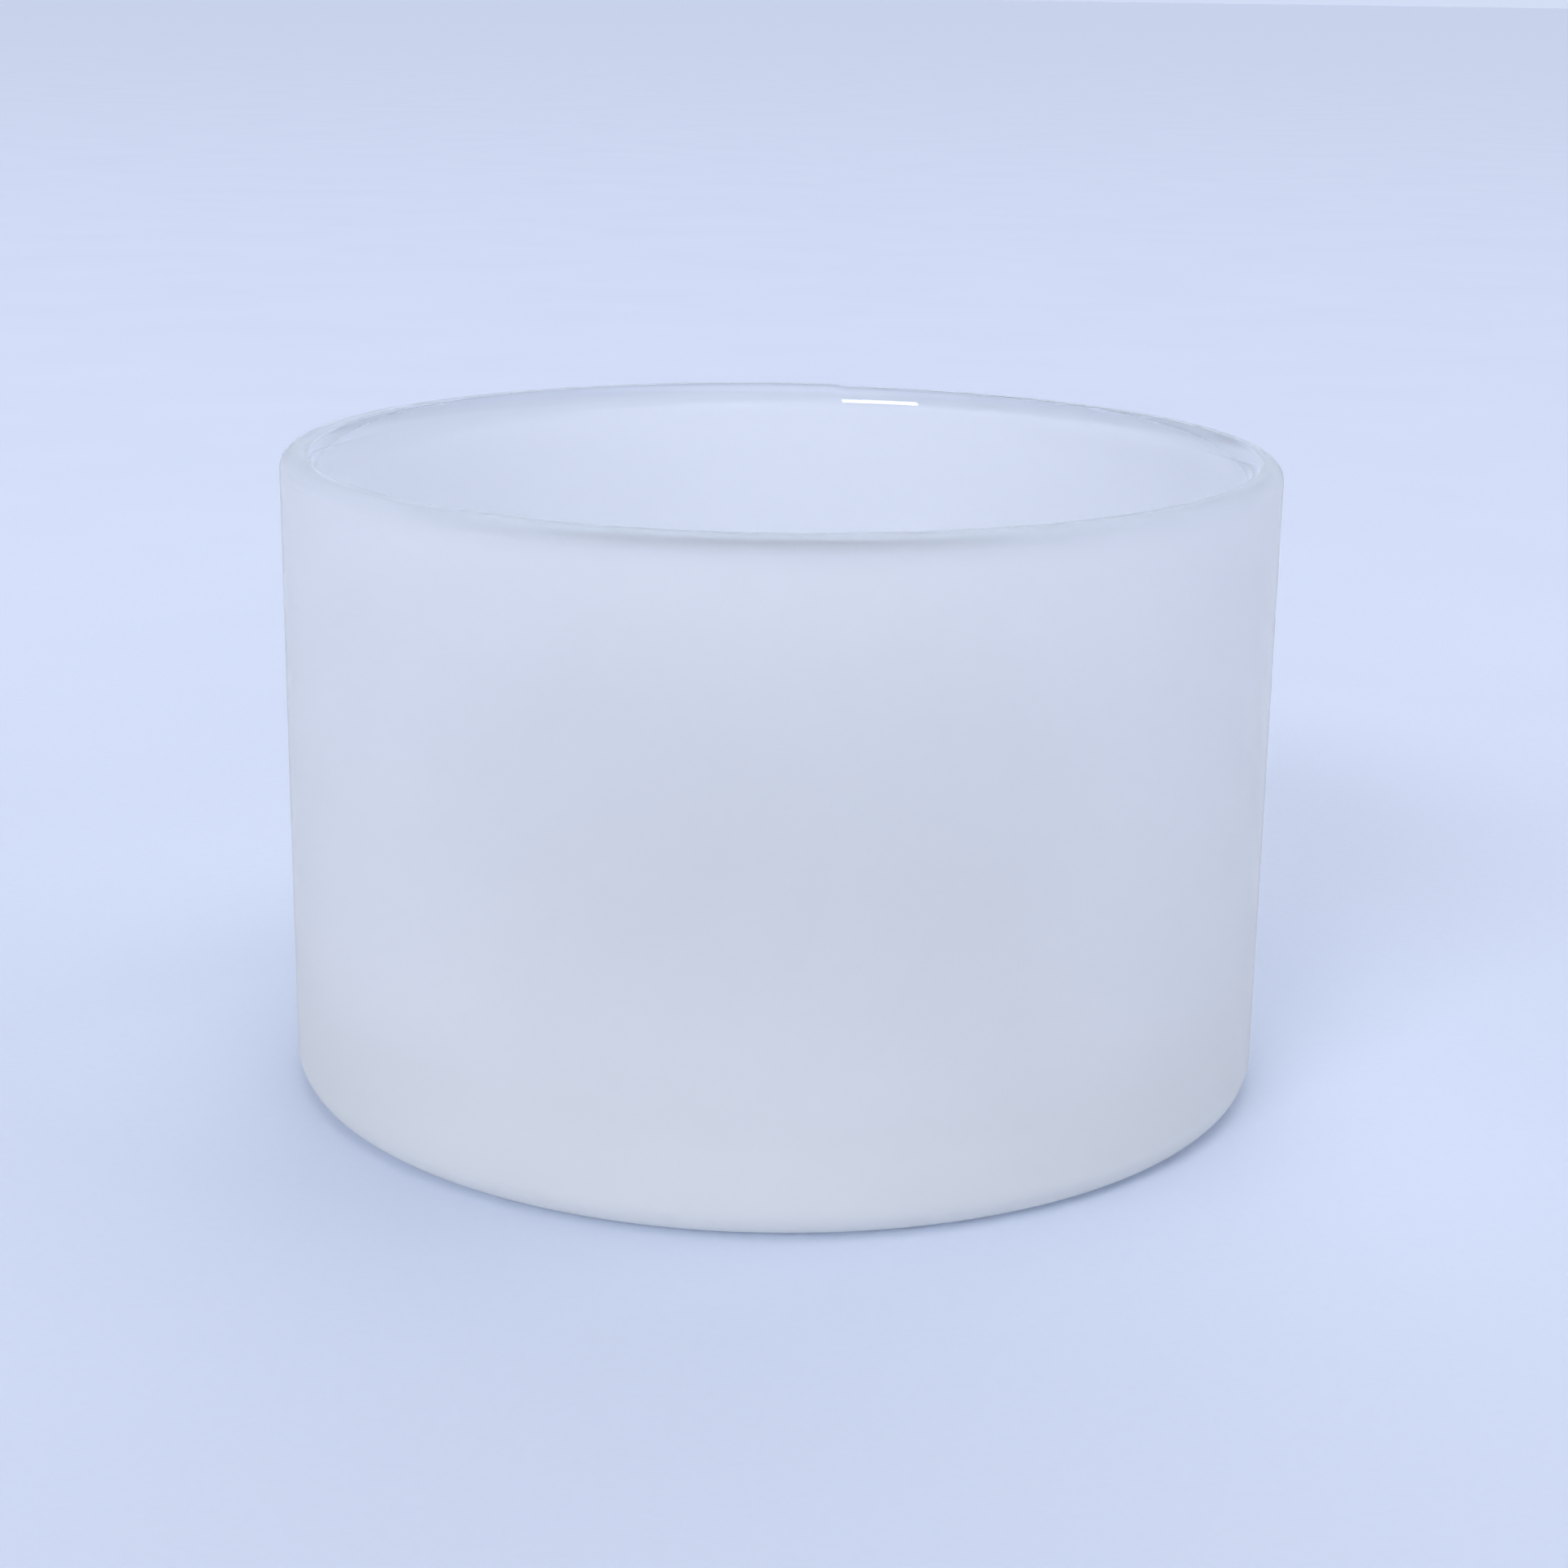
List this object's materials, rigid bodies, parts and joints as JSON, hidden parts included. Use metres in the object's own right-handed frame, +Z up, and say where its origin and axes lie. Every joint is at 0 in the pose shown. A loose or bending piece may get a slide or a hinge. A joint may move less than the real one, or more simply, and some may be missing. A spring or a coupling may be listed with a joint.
{
  "type": "empty candle jar",
  "caption": "Wide, straight-sided glass tumbler for a poured candle, frosted outside, clear inside, with a thick base, a rounded clear rim and an open top.",
  "frame": {"origin": "centre of the base, on the plane that the jar stands on", "axes": "+Z up along the jar's axis of symmetry, from the base to the open mouth; the jar is round, so +X and +Y are free"},
  "size_m": [0.124, 0.124, 0.08],
  "materials": {
    "frosted_glass": "acid-etched satin outside, clear and fire-polished at the rim and inside"
  },
  "bodies": {
    "root": {"glass_jar": "frosted_glass"}
  },
  "joints": []
}
